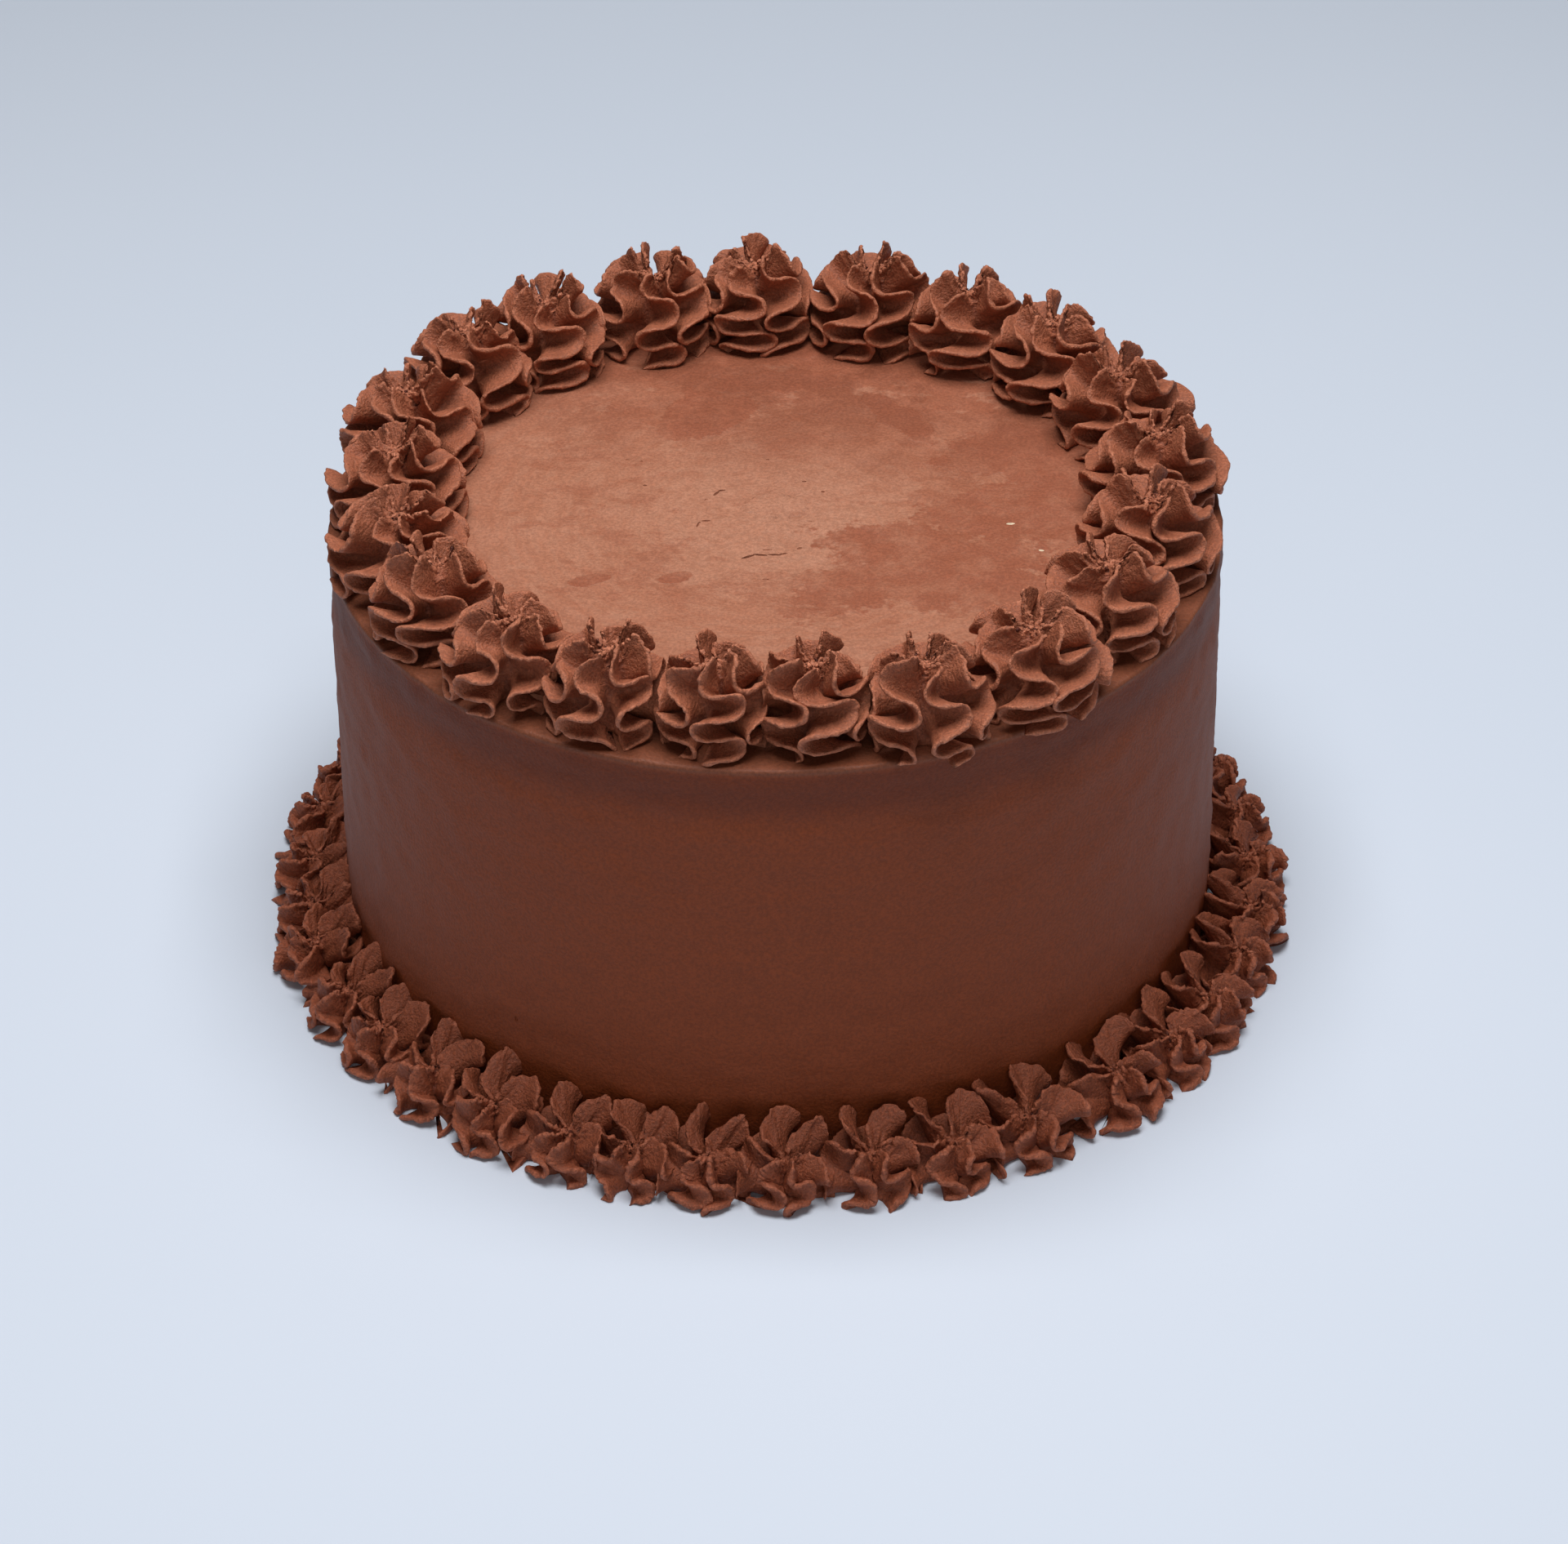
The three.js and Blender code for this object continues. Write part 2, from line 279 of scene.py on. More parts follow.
def petal_edge(form, petal, course, shoulder):
    """Distance from the axis and height of the edge, level by level."""
    height, radius, tip = petal["height"], petal["radius"], petal["tip"]
    climb, slant, sink = course.climb, course.slant, course.sink
    belly = form["foot"] + (1 - form["foot"]) * np.sin(np.pi / 2 * np.clip(climb / BELLY_SHARE, 0, 1))
    tip_radius = radius * tip
    inner_radius = form["inner"] * form["radius"]
    distance = radius * belly * (1 - (1 - tip) * climb ** form["taper"])
    distance = distance + (inner_radius - tip_radius) * slant ** SLANT_IN_POWER
    distance = distance + (EDGE_END_RADIUS - inner_radius) * sink
    up = height * climb + (shoulder - height) * slant ** SLANT_DOWN_POWER + (form["crater"] - shoulder) * sink
    return round_off(distance, form["round_off"]), round_off(up, form["round_off"])


def petal_sheet(form, petal, course, draw):
    """Middle surface of one petal: distance from the axis, direction and height."""
    climb, back, slant, sink = course.climb, course.back, course.slant, course.sink
    across = course.across
    radius = petal["radius"]
    shoulder = form["crater"] + draw.between(*SHOULDER_SHARES) * (petal["height"] - form["crater"])
    strength = 1 - form["calming"] * smoothstep(form["calm"], 1.0, climb)
    strength = strength * (1 + uneven(course.along, draw, *SWAY_UNEVEN))
    crowding = (1 + WAVES_CROWD_BELOW * (1 - climb)) / (1 + WAVES_CROWD_BELOW)
    phase = petal["turn"] - 2 * math.pi * petal["waves"] * (1 - climb) * crowding
    phase = phase + uneven(course.along, draw, *PHASE_UNEVEN) + form["arch"] * slant
    edge_distance, edge_height = petal_edge(form, petal, course, shoulder)
    torn = uneven(course.along, draw, form["torn"], TORN_KNOTS) * smoothstep(*TORN_LEVELS, climb) * (1 - sink)
    frayed = FRAYED_SHARE * uneven(course.along, draw, form["torn"], FRAYED_KNOTS)
    frayed = frayed * smoothstep(*FRAYED_LEVELS, climb) * (1 - sink)
    frayed = frayed + uneven(course.along, draw, *FINE_FRAY) * smoothstep(*FINE_FRAY_LEVELS, climb)
    root_distance = form["core"] * form["radius"] * (1 - ROOT_NARROWING * climb ** 2) * (1 - back)
    root_distance = root_distance + ROOT_END_RADIUS * back
    root_height = (form["crater"] - ROOT_BELOW_CRATER) * climb ** ROOT_CLIMB_POWER + ROOT_END_RISE * back
    closer = (radius / np.maximum(edge_distance, LEAST_EDGE_SHARE * radius)) ** form["twist"]
    arching = 1 + form["arch"] * ARCH_SWING * slant
    sway = petal["swing"] * strength * np.sin(phase) * arching * closer * (1 - sink)
    drop = -form["meander"] * strength * np.sin(2 * phase) * (1 - back) * smoothstep(*DROP_LEVELS, climb)
    reach = edge_distance * (1 + REACH_SWAY * strength * np.cos(phase + REACH_PHASE))
    distance = (1 - across) * root_distance + across * reach + frayed * across ** FRAY_POWER
    direction = petal["angle"] + sway * (ROOT_SWAY + (1 - ROOT_SWAY) * across ** form["curl"])
    up = (1 - across) * root_height + across * (edge_height + drop) + torn * across ** FRAY_POWER
    at_foot = FLOOR_SOFTNESS * math.log(2) * np.exp(-climb / FLOOR_FADE)
    up = FLOOR_SOFTNESS * np.logaddexp(0, up / FLOOR_SOFTNESS) - at_foot
    return distance, direction, np.maximum(up, 0)


def unit(vectors):
    return vectors / (np.linalg.norm(vectors, axis=-1, keepdims=True) + TINY)


def petal_columns(form, sheet, course, draw):
    """Both faces of one petal and the round of its edge, as columns of points."""
    distance, direction, up = sheet
    spot = np.stack([distance * np.cos(direction), distance * np.sin(direction), up], -1)
    outwards = np.gradient(spot, axis=0)
    upwards = np.gradient(spot, axis=1)
    normal = unit(np.cross(upwards, outwards))
    around = np.stack([-np.sin(direction), np.cos(direction), 0 * direction], -1)
    if (normal[0] * around[0]).sum(-1).mean() < 0:
        normal = -normal
    across = course.across
    thick = form["edge"] + (form["root"] - form["edge"]) * (1 - across) ** form["swell"]
    thinner = THIN_AT_POINT * smoothstep(*THIN_LEVELS, course.climb) + THIN_INSIDE * course.slant
    lumps = uneven(course.along, draw, *BROAD_LUMPS) + uneven(course.along, draw, *FINE_LUMPS)
    thick = thick * (1 - thinner) * (1 + lumps * across ** LUMP_POWER) + END_THICKENING * course.sink
    half = (thick / 2)[..., None] * normal
    out = unit(outwards[-1])
    edge_half = (thick[-1] / 2)[:, None]
    steps = range(form["across"] + 1)
    columns = [spot[step] - half[step] for step in steps]
    columns.append(spot[-1] + edge_half * (DIAGONAL * out - DIAGONAL * normal[-1]))
    columns.append(spot[-1] + edge_half * out)
    columns.append(spot[-1] + edge_half * (DIAGONAL * out + DIAGONAL * normal[-1]))
    return columns + [spot[step] + half[step] for step in reversed(steps)]


def valley_column(sheet, next_sheet, full_turn):
    """The valley between the roots of two petals."""
    distance, direction, up = (values[0] for values in sheet)
    next_distance, next_direction, next_up = (values[0] for values in next_sheet)
    middle = (direction + next_direction + full_turn) / 2
    valley = (distance + next_distance) / 2 * VALLEY_SHARE
    return np.stack([valley * np.cos(middle), valley * np.sin(middle), (up + next_up) / 2], -1)


def keep_behind(points, distance, direction):
    """Draws the points in that would cross a plane, softly."""
    facing = points[..., 0] * math.cos(direction) + points[..., 1] * math.sin(direction)
    low, high = (share * distance for share in PUSH_SHARES)
    pushed = -PUSH_SOFTNESS * np.logaddexp(0, (distance - facing) / PUSH_SOFTNESS)
    scale = np.where(facing > low, (distance + pushed) / np.maximum(facing, LEAST_FACING), 1)
    scale = 1 + (scale - 1) * smoothstep(low, high, facing)
    points[..., 0] *= scale
    points[..., 1] *= scale


def columns_per_petal(form):
    """Two faces, three columns round the edge and one in the valley."""
    return 2 * (form["across"] + 1) + 3 + 1


def piped(form, draw, planes, outward, size):
    """Surface points [column, level] of one piped piece about its own foot, in millimetres."""
    count = form["petals"]
    spin = outward + math.radians(form["first"] + draw.spread(form["first_spread"]))
    phase = form["turn"] + draw.spread(form["turn_spread"])
    lean = [draw.spread(form["lean"]), draw.spread(form["lean"])]
    course = Course(form)
    starts = [spin + 2 * math.pi * index / count for index in range(count)]
    petals = [petal_facts(form, draw, start, phase, outward, size) for start in starts]
    sheets = [petal_sheet(form, petal, course, draw) for petal in petals]
    columns = []
    for index, sheet in enumerate(sheets):
        columns += petal_columns(form, sheet, course, draw)
        full_turn = 2 * math.pi if index == count - 1 else 0
        columns.append(valley_column(sheet, sheets[(index + 1) % count], full_turn))
    points = np.stack(columns, 0)
    rise = points[..., 2] / form["height"]
    points[..., 0] += lean[0] * rise ** 2
    points[..., 1] += lean[1] * rise ** 2
    for distance, direction in planes:
        keep_behind(points, distance, direction)
    points[..., 2] = np.maximum(points[..., 2], 0)
    points[:, 0, 2] = 0
    return points


# Grain of the piped icing, in millimetres: fine everywhere, crumbs on points and torn edges
SOFT_GRAIN_HEIGHT = 0.8
CRUMB_GRAIN_HEIGHT = 1.6
CRUMB_LEVELS = (0.66, 0.8)
EDGE_SHARES = (0.7, 1.0)
MIDDLE_DIP = 0.2
WEIGHT_STEPS = 8


def grain(name, size, depth):
    """A cloudy texture whose features are about size millimetres wide."""
    texture = bpy.data.textures.new(name, "CLOUDS")
    texture.noise_scale = size * MM
    texture.noise_depth = depth
    return texture


def choose(piece):
    """Makes piece the one object that is selected and active."""
    bpy.ops.object.select_all(action="DESELECT")
    piece.select_set(True)
    bpy.context.view_layer.objects.active = piece


def roughen(piece, texture, amount, weights=None):
    """Pushes the surface in and out by a cloudy texture, by weight where weights are given."""
    choose(piece)
    rough = piece.modifiers.new("rough", "DISPLACE")
    rough.texture = texture
    rough.texture_coords = "LOCAL"
    rough.strength = amount * MM
    rough.mid_level = 0.5
    if weights is not None:
        group = piece.vertex_groups.new(name="share")
        steps = np.round(weights * WEIGHT_STEPS).astype(int)
        for step in range(1, WEIGHT_STEPS + 1):
            vertices = [int(vertex) for vertex in np.nonzero(steps == step)[0]]
            group.add(vertices, step / WEIGHT_STEPS, "REPLACE")
        rough.vertex_group = "share"
    bpy.ops.object.modifier_apply(modifier="rough")


SOFT_GRAIN = grain("soft grain", size=3.0, depth=1)
CRUMB_GRAIN = grain("crumb grain", size=0.9, depth=2)


def vertex_spots(piece):
    """Places of the vertices in the piece's own metres."""
    flat = np.empty(len(piece.data.vertices) * 3)
    piece.data.vertices.foreach_get("co", flat)
    return flat.reshape(-1, 3)


def make_ball(name, form):
    """The sphere that each piece of one kind is drawn out of."""
    columns = form["petals"] * columns_per_petal(form)
    bpy.ops.object.select_all(action="DESELECT")
    bpy.ops.mesh.primitive_uv_sphere_add(segments=columns, ring_count=form["levels"] + 2, radius=1)
    ball = bpy.context.object
    ball.name = name
    bpy.ops.object.shade_smooth()
    return ball


def draw_out(ball, name, form, points, place):
    """A copy of the ball whose meridians and parallels go to the columns and levels of points."""
    columns, levels = points.shape[:2]
    piece = ball.copy()
    piece.data = ball.data.copy()
    piece.name = name
    bpy.context.scene.collection.objects.link(piece)
    mesh = piece.data
    mesh.name = name
    at = vertex_spots(piece)
    column = np.round(np.arctan2(at[:, 1], at[:, 0]) / (2 * math.pi) * columns).astype(int) % columns
    level = np.round((1 - np.arccos(np.clip(at[:, 2], -1, 1)) / math.pi) * (levels + 1)).astype(int)
    spots = points[column, np.clip(level - 1, 0, levels - 1)]
    spots[level == 0] = (0, 0, 0)
    spots[level == levels + 1] = points[:, -1].mean(0) - (0, 0, MIDDLE_DIP)
    spots = (spots + np.array(place)) * MM
    mesh.vertices.foreach_set("co", spots.ravel())
    mesh.update()
    edge_column = form["across"] + 2
    off_edge = np.abs(column % columns_per_petal(form) - edge_column) / edge_column
    on_edge = smoothstep(*EDGE_SHARES, 1 - off_edge)
    weights = np.maximum(smoothstep(*CRUMB_LEVELS, level / (levels + 1)), form["crumbly"] * on_edge)
    roughen(piece, SOFT_GRAIN, SOFT_GRAIN_HEIGHT)
    roughen(piece, CRUMB_GRAIN, CRUMB_GRAIN_HEIGHT, weights)
    return piece


class Shade:
    """One output of a shader node. Sums and products with numbers or others add nodes."""

    def __init__(self, tree, output):
        self.tree = tree
        self.output = output

    def node(self, kind, settings=None, inputs=None, output=0):
        """Adds a node of any type: its settings first, then values or links by socket."""
        added = self.tree.nodes.new(kind)
        for name, value in (settings or {}).items():
            setattr(added, name, value)
        for name, value in (inputs or {}).items():
            if isinstance(value, Shade):
                self.tree.links.new(value.output, added.inputs[name])
            else:
                added.inputs[name].default_value = value
        return Shade(self.tree, added.outputs[output])

    def maths(self, operation, *values):
        return self.node("ShaderNodeMath", {"operation": operation}, dict(enumerate(values)))

    def __add__(self, other):
        return self.maths("ADD", self, other)

    def __radd__(self, other):
        return self.maths("ADD", other, self)

    def __sub__(self, other):
        return self.maths("SUBTRACT", self, other)

    def __rsub__(self, other):
        return self.maths("SUBTRACT", other, self)

    def __mul__(self, other):
        return self.maths("MULTIPLY", self, other)

    def __rmul__(self, other):
        return self.maths("MULTIPLY", other, self)

    def __pow__(self, other):
        return self.maths("POWER", self, other)

    def highest(self, other):
        return self.maths("MAXIMUM", self, other)

    def lowest(self, other):
        return self.maths("MINIMUM", self, other)

    def between(self, low, high):
        """0 below low, 1 above high and smooth between them."""
        settings = {"interpolation_type": "SMOOTHSTEP"}
        return self.node("ShaderNodeMapRange", settings, {"Value": self, "From Min": low, "From Max": high})

    def noise(self, size, detail, rough, stretch=(1, 1, 1), shift=(0, 0, 0)):
        """Cloudy noise from 0 to 1 whose features are about size millimetres wide."""
        mapping = {"Vector": self, "Scale": stretch, "Location": shift}
        place = self.node("ShaderNodeMapping", None, mapping)
        inputs = {"Vector": place, "Scale": 1 / (size * MM), "Detail": detail, "Roughness": rough}
        return self.node("ShaderNodeTexNoise", None, inputs)

    def part(self, index):
        """One of the three numbers of a vector."""
        return self.node("ShaderNodeSeparateXYZ", None, {0: self}, output=index)

    def lit(self, value):
        """This colour, value times as bright."""
        return self.node("ShaderNodeHueSaturation", None, {"Color": self, "Value": value})

    def mix(self, first, second):
        """From the first colour to the second, by this share."""
        sockets = {0: self, 6: colour_of(first), 7: colour_of(second)}
        return self.node("ShaderNodeMix", {"data_type": "RGBA"}, sockets, output=2)


def colour_of(value):
    return value if isinstance(value, Shade) else (*value, 1)


class Look:
    """A material in the making: its shader and the place on the object."""

    def __init__(self, name, **constants):
        self.material = bpy.data.materials.new(name)
        self.material.use_nodes = True
        self.tree = self.material.node_tree
        self.shader = self.tree.nodes["Principled BSDF"]
        self.set(**constants)
        coordinates = self.tree.nodes.new("ShaderNodeTexCoord")
        self.place = Shade(self.tree, coordinates.outputs["Object"])

    def set(self, **inputs):
        for name, value in inputs.items():
            socket = self.shader.inputs[name.replace("_", " ")]
            if isinstance(value, Shade):
                self.tree.links.new(value.output, socket)
            else:
                socket.default_value = value

    def bump(self, height, distance):
        """Fine relief: height from 0 to 1, distance in millimetres."""
        inputs = {"Height": height, "Distance": distance * MM, "Strength": 1.0}
        self.set(Normal=self.place.node("ShaderNodeBump", None, inputs))


# Chocolate buttercream: dry and light where it was scraped, more saturated where it was smeared. Painted
# light among these tones: shade at the back, towards the rim, along the rim and in the hollows of the piping,
# a sheen in the middle of the top and highlights on the ridges of the piping
SCRAPED = (0.385, 0.143, 0.078)
SMEARED_AND_SHADE = (0.30, 0.088, 0.043)
# Painted shade for the back of the top
BACK_SHADE = (0.23, 0.066, 0.031)
SETTLED_AND_SHEEN = (0.45, 0.20, 0.122)
RIM_SHADE = (0.185, 0.052, 0.022)
WALL = (0.225, 0.044, 0.0095)
WALL_DARK = (0.150, 0.026, 0.005)
PIPED = (0.405, 0.125, 0.059)
PIPED_DARK = (0.31, 0.082, 0.035)
PIPED_RIDGE_LIGHT = (0.50, 0.205, 0.122)
FOOT_PIPED = (0.335, 0.084, 0.034)
FOOT_PIPED_DARK = (0.23, 0.052, 0.019)
FOOT_PIPED_RIDGE_LIGHT = (0.39, 0.136, 0.077)
HOLLOW_SHADE = (0.16, 0.017, 0.004)
CRUMB_COLOUR = (0.75, 0.60, 0.42)
FLOOR_COOL = (0.66, 0.73, 0.84)
FLOOR_PALE = (0.70, 0.76, 0.86)

# Thin smears of icing that the spatula left on top: middle x, y, half sizes and turn in degrees
SMEARS = [
    (42, -24, 33, 20, -25),
    (60, 2, 26, 14, 10),
    (58, 31, 19, 10, 20),
    (22, -30, 22, 11, 30),
    (-22, 51, 6, 14, -22),
    (1, 66, 22, 6, 4),
    (-13, 50, 5, 12, -35),
    (33, 47, 4.5, 17, 33),
    (-46, -29, 5, 2, 20),
    (-25, -28, 4, 1.8, 20),
    (70, 12, 12, 22, 10),
    (-3, 88, 60, 9, 0),
]
CRUMBS_ON_TOP = [(58.8, -3.8, 1.1, 0.45, 5), (65.8, -16.7, 0.7, 0.35, -20)]
TORN_SPOT = (0, 6, 9, 6, 10)
SMEAR_EDGE = (0.88, 1.06)

# Top of the icing. Sizes and distances are in millimetres, the rest are shares and factors.
RAGGED_WARP = 1.9
TORN_WARP = 1.1
CRUMB_WARP = 0.6
RINGS_ARC = 14
RINGS_WANDER = 9
# The painted sheen in the middle reaches this far
MIDDLE_REACH = (18, 48)
MIDDLE_WANDER = 40
# Painted shade: how far it reaches towards the back, and where it darkens towards the rim
BACK_REACH = (5, 80)
BACK_WANDER = 40
BACK_TO_RIGHT = 0.25
TOWARDS_RIM = (60, 100)
RIM_SHADE_REACH = (96, 103)

# Wall of the icing: how far below the rim its dark band comes and goes, in millimetres
DARK_BAND_START = (0.8, 3)
DARK_BAND_END = (8, 19)

ICING_SHEEN = 0.3
ICING_ROUGHNESS = 0.62
ICING_RELIEF = 0.18
PIPING_SHEEN = 0.45
PIPING_ROUGHNESS = 0.62
PIPING_RELIEF = 0.45


def smear_share(place, warp, x, y, half_x, half_y, turn):
    """Share of cover by one smear, with an edge as ragged as warp makes it."""
    turned = {
        "Vector": place,
        "Location": (x * MM, y * MM, 0),
        "Rotation": (0, 0, math.radians(turn)),
        "Scale": (half_x * MM, half_y * MM, 1),
    }
    own = place.node("ShaderNodeMapping", {"vector_type": "TEXTURE"}, turned)
    across = own.part(0)
    along = own.part(1)
    reach = (across * across + along * along) ** 0.5
    return 1 - (reach + warp).between(*SMEAR_EDGE)


def icing_top(place, x, y, fine):
    """Colour, share of smears and relief of the scraped top."""
    radius = (x * x + y * y) ** 0.5
    broad = place.noise(size=34, detail=3, rough=0.6)
    ragged = place.noise(size=17, detail=4, rough=0.62, shift=(3, 1, 2))
    cloud = place.noise(size=60, detail=2, rough=0.5, shift=(1, 5, 0))
    torn = place.noise(size=5, detail=3, rough=0.7, shift=(6, 0, 1))
    warp = (ragged - 0.5) * RAGGED_WARP + (torn - 0.5) * TORN_WARP
    cover = None
    for smear in SMEARS:
        share = smear_share(place, warp, *smear)
        cover = share if cover is None else cover.highest(share)

    # Settled and dry along the rings that the turning spatula left, and a painted sheen that makes the middle
    # lighter
    spokes = place.noise(size=9, detail=3, rough=0.6, shift=(0, 2, 4))
    turn = y.maths("ARCTAN2", y, x)
    turned = {0: radius * MM, 1: turn * RINGS_ARC * MM, 2: (broad - 0.5) * RINGS_WANDER * MM}
    rings = place.node("ShaderNodeCombineXYZ", None, turned).noise(size=2.6, detail=3, rough=0.65)
    # The middle is lighter by a painted sheen
    middle = 1 - (radius + (ragged - 0.5) * MIDDLE_WANDER).between(*MIDDLE_REACH)
    dry_and_sheen = cloud.between(0.35, 0.65) * 0.2 + rings.between(0.38, 0.62) * 0.38
    dry_and_sheen = dry_and_sheen + spokes * 0.13 + middle * 0.40
    base = dry_and_sheen.mix(SCRAPED, SETTLED_AND_SHEEN)

    # Painted shade, darker towards the back and the rim, and more saturated icing where it was smeared
    shade_behind = (y + x * BACK_TO_RIGHT + (broad - 0.5) * BACK_WANDER).between(*BACK_REACH)
    shade_towards_rim = radius.between(*TOWARDS_RIM) * 0.4
    patchy = place.noise(size=8, detail=4, rough=0.65, shift=(4, 4, 1)).between(0.32, 0.62)
    base = (shade_behind * 0.8).highest(shade_towards_rim).mix(base, SMEARED_AND_SHADE)
    faint = place.noise(size=14, detail=4, rough=0.7, stretch=(0.7, 1.3, 1), shift=(2, 7, 3))
    faint = faint.between(0.50, 0.62) * 0.45
    top = (cover * (0.45 + 0.5 * patchy)).highest(faint).mix(base, SMEARED_AND_SHADE)
    pale = place.noise(size=10, detail=4, rough=0.7, stretch=(0.8, 1.4, 1), shift=(9, 2, 5))
    top = (pale.between(0.55, 0.66) * (1 - cover) * 0.6).mix(top, SETTLED_AND_SHEEN)
    # Painted shade at the back of the top, in patches
    back_shade_patches = shade_behind * place.noise(size=16, detail=4, rough=0.65, shift=(5, 3, 8)).between(0.42, 0.56)
    top = (back_shade_patches * 0.7).mix(top, BACK_SHADE)

    # The torn spot in the middle, painted shade on the strip along the rim under the rosettes, and two crumbs
    spot = smear_share(place, warp, *TORN_SPOT)
    top = (spot * torn.between(0.4, 0.6) * 0.6).mix(top, SETTLED_AND_SHEEN)
    # Painted shade along the rim
    top = (radius.between(*RIM_SHADE_REACH) * 0.95).mix(top, RIM_SHADE)
    for crumb in CRUMBS_ON_TOP:
        top = smear_share(place, (fine - 0.5) * CRUMB_WARP, *crumb).mix(top, CRUMB_COLOUR)
    relief = rings * (0.5 + middle * 0.8) + cover * 0.6 + spot * torn * 3.0
    return top, cover, relief


def icing_wall(place, z):
    """Colour and relief of the scraped wall."""
    below_rim = BODY_HEIGHT - z
    band = below_rim.between(*DARK_BAND_START) * (1 - below_rim.between(*DARK_BAND_END))
    streak = place.noise(size=30, detail=3, rough=0.55, stretch=(0.35, 0.35, 2.2))
    dark = (band * 0.85 + (streak - 0.5) * 0.7).highest(0).lowest(1)
    lines = place.noise(size=2.4, detail=2, rough=0.5, stretch=(0.12, 0.12, 3.0))
    return dark.mix(WALL, WALL_DARK), lines


def icing_look():
    look = Look("icing", Specular_IOR_Level=ICING_SHEEN)
    place = look.place
    x, y, z = (place.part(index) * (1 / MM) for index in range(3))
    on_top = z.between(BODY_HEIGHT - 2.0, BODY_HEIGHT - 0.8)
    fine = place.noise(size=1.1, detail=3, rough=0.6)
    speckle = place.noise(size=0.8, detail=2, rough=0.7).between(0.3, 0.7)
    top, cover, swirl = icing_top(place, x, y, fine)
    wall, lines = icing_wall(place, z)
    look.set(Base_Color=on_top.mix(wall, top).lit(0.76 + speckle * 0.30 + fine * 0.18))
    look.set(Roughness=ICING_ROUGHNESS + (fine - 0.5) * 0.12 - on_top * 0.04 + cover * on_top * 0.05)
    relief = fine * 0.35 + speckle * 0.45 + lines * (1 - on_top) * 0.25 + swirl * on_top
    look.bump(relief, ICING_RELIEF)
    return look.material


def piping_look(name, light, dark, ridge_light):
    """Piped icing, lighter along its ridges by a painted highlight and deep brown in its hollows by painted
    shade.
    """
    look = Look(name, Specular_IOR_Level=PIPING_SHEEN)
    place = look.place
    broad = place.noise(size=9, detail=2, rough=0.5)
    fine = place.noise(size=0.7, detail=3, rough=0.65)
    crumb = place.noise(size=1.6, detail=3, rough=0.6)
    pointed = place.node("ShaderNodeNewGeometry", output=7)
    ridge = pointed.between(0.5, 0.66)
    hollow = 1 - pointed.between(0.36, 0.5)
    colour = (broad.between(0.3, 0.7) * 0.4 + crumb * 0.3).mix(light, dark)
    # Painted highlight along the ridges
    colour = (ridge * (0.2 + 0.6 * fine)).mix(colour, ridge_light)
    # Painted shade, deep brown in the hollows
    colour = (hollow * 0.9).mix(colour, HOLLOW_SHADE)
    speckle = place.noise(size=0.7, detail=2, rough=0.7).between(0.3, 0.7)
    # Painted highlight on the ridges and painted shade in the hollows, over a speckled grain
    shaded = (0.70 + speckle * 0.44 + fine * 0.20) * (0.91 + ridge * 0.38 - hollow * 0.42)
    look.set(Base_Color=colour.lit(shaded), Roughness=PIPING_ROUGHNESS + (fine - 0.5) * 0.2)
    look.bump(fine * 0.5 + crumb * 0.4 + speckle * 0.25, PIPING_RELIEF)
    return look.material


def floor_look():
    look = Look("pale floor", Roughness=0.6, Specular_IOR_Level=0.3)
    shade = look.place.noise(size=400, detail=2, rough=0.5)
    look.set(Base_Color=shade.mix(FLOOR_COOL, FLOOR_PALE))
    return look.material


ICING = icing_look()
PIPING = piping_look("top piping", PIPED, PIPED_DARK, PIPED_RIDGE_LIGHT)
FOOT = piping_look("foot piping", FOOT_PIPED, FOOT_PIPED_DARK, FOOT_PIPED_RIDGE_LIGHT)


def size_by_spacing(form, spots, index):
    """How much wider than usual a piece is where its neighbours leave it more room, or less."""
    own = spots[index]
    spacing = sum(np.linalg.norm(spots[(index + step) % len(spots)] - own) for step in (-1, 1)) / 2
    return min(max(form["fill"] * spacing, form["narrow"]), form["wide"]) / form["radius"]


def make_rosettes():
    ball = make_ball("rosette_ball", ROSETTE)
    spots = [on_cake(azimuth, distance) for azimuth, distance in zip(ROSETTE_AZIMUTHS, ROSETTE_DISTANCES)]
    for index, spot in enumerate(spots):
        draw = Draw((index + 1) * ROSETTE["seed_step"])
        outward = math.atan2(spot[1], spot[0])
        planes = neighbour_planes(spots, index, ROSETTE["overlap"])
        points = piped(ROSETTE, draw, planes, outward, size_by_spacing(ROSETTE, spots, index))
        piece = draw_out(ball, "rosette_%02d" % (index + 1), ROSETTE, points, (*spot, BODY_HEIGHT))
        piece.data.materials.append(PIPING)
        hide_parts("top_rosette_%02d" % (index + 1))
        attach(piece, "root")
    bpy.data.objects.remove(ball)


def star_azimuths():
    """The azimuths seen in the photo, then the rest of the ring, nearly even."""
    azimuths = list(STAR_AZIMUTHS_SEEN)
    last = azimuths[-1]
    free = STAR_COUNT - len(azimuths)
    step = (360 + azimuths[0] - last) / (free + 1)
    draw = Draw(STAR["seed_step"])
    for index in range(1, free + 1):
        azimuths.append(last + step * index + draw.spread(STAR_AZIMUTH_SPREAD))
    return azimuths


def star_distances():
    """The distances seen in the photo, then the rest of the ring."""
    draw = Draw(STAR["seed_step"] + 1)
    distances = list(STAR_DISTANCES_SEEN)
    while len(distances) < STAR_COUNT:
        distances.append(STAR_DISTANCE + draw.spread(STAR_DISTANCE_SPREAD))
    return distances


